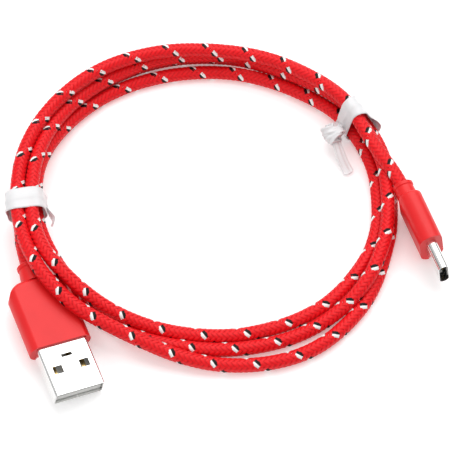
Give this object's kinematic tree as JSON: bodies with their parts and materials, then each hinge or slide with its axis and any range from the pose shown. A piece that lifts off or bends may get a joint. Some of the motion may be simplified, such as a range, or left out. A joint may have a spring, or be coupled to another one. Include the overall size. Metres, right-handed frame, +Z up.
{
  "type": "usb charging cable",
  "caption": "Red braided charging cable with a USB-A plug and a USB-C plug, wound in a flat ring and held by two twist ties.",
  "frame": {"origin": "middle of the whole object's plan, on the floor it lies on", "axes": "+Z up from the floor; the wound ring lies in XY, with the USB-A plug at -X -Y, pointing to -Y, and the USB-C plug at +X, also pointing to -Y"},
  "size_m": [0.1051, 0.0984, 0.0125],
  "materials": {
    "braid": "woven polyester braid",
    "moulding": "matte soft plastic",
    "shell": "bright nickel plate",
    "tongue": "plain",
    "housing": "plain",
    "contact": "gold plate",
    "spring_steel": "satin",
    "inner_moulding": "plain",
    "wire_red": "plain",
    "wire_black": "plain",
    "wire_white": "plain",
    "wire_green": "plain",
    "crimp": "satin",
    "circuit_board": "lacquered",
    "resistor": "gloss",
    "tie": "translucent film",
    "tie_wire": "plain"
  },
  "bodies": {
    "cable": {"cord_coil": "braid", "left_tie_wire": "tie_wire", "left_twist_tie": "tie", "right_tie_wire": "tie_wire", "right_twist_tie": "tie", "usb_a_contact_data_minus": "contact", "usb_a_contact_data_plus": "contact", "usb_a_contact_ground": "contact", "usb_a_contact_power": "contact", "usb_a_crimp": "crimp", "usb_a_inner_mould": "inner_moulding", "usb_a_lead": "braid", "usb_a_overmould": "moulding", "usb_a_shell": "shell", "usb_a_strain_relief": "moulding", "usb_a_tongue": "tongue", "usb_a_wire_data_minus": "wire_white", "usb_a_wire_data_plus": "wire_green", "usb_a_wire_ground": "wire_black", "usb_a_wire_power": "wire_red", "usb_c_circuit_board": "circuit_board", "usb_c_crimp": "crimp", "usb_c_ground_spring_lower": "spring_steel", "usb_c_ground_spring_upper": "spring_steel", "usb_c_housing": "housing", "usb_c_inner_mould": "inner_moulding", "usb_c_lead": "braid", "usb_c_overmould": "moulding", "usb_c_resistor": "resistor", "usb_c_shell": "shell", "usb_c_strain_relief": "moulding", "usb_c_wire_data_minus": "wire_white", "usb_c_wire_data_plus": "wire_green", "usb_c_wire_ground": "wire_black", "usb_c_wire_power": "wire_red"},
    "contacts_upper": {"usb_c_contacts_upper": "contact"},
    "contacts_lower": {"usb_c_contacts_lower": "contact"},
    "latch_left": {"usb_c_latch_left": "spring_steel"},
    "latch_right": {"usb_c_latch_right": "spring_steel"}
  },
  "joints": [
    {"name": "contacts_upper_flex", "type": "hinge", "parent": "cable", "child": "contacts_upper", "pos_m": [0.0481, -0.01134, 0.00603], "axis": [0.1514, 0.0917, -0.9842], "range_deg": [0, 2.5], "stiffness_Nm_per_rad": 0.08},
    {"name": "contacts_lower_flex", "type": "hinge", "parent": "cable", "child": "contacts_lower", "pos_m": [0.04914, -0.01097, 0.00622], "axis": [-0.1514, -0.0917, 0.9842], "range_deg": [0, 2.5], "stiffness_Nm_per_rad": 0.08},
    {"name": "latch_left_flex", "type": "hinge", "parent": "cable", "child": "latch_left", "pos_m": [0.0481, -0.01147, 0.00952], "axis": [-0.9275, -0.3311, -0.1735], "range_deg": [0, 2.5], "stiffness_Nm_per_rad": 0.08},
    {"name": "latch_right_flex", "type": "hinge", "parent": "cable", "child": "latch_right", "pos_m": [0.04914, -0.01084, 0.00273], "axis": [0.9275, 0.3311, 0.1735], "range_deg": [0, 2.5], "stiffness_Nm_per_rad": 0.08}
  ]
}
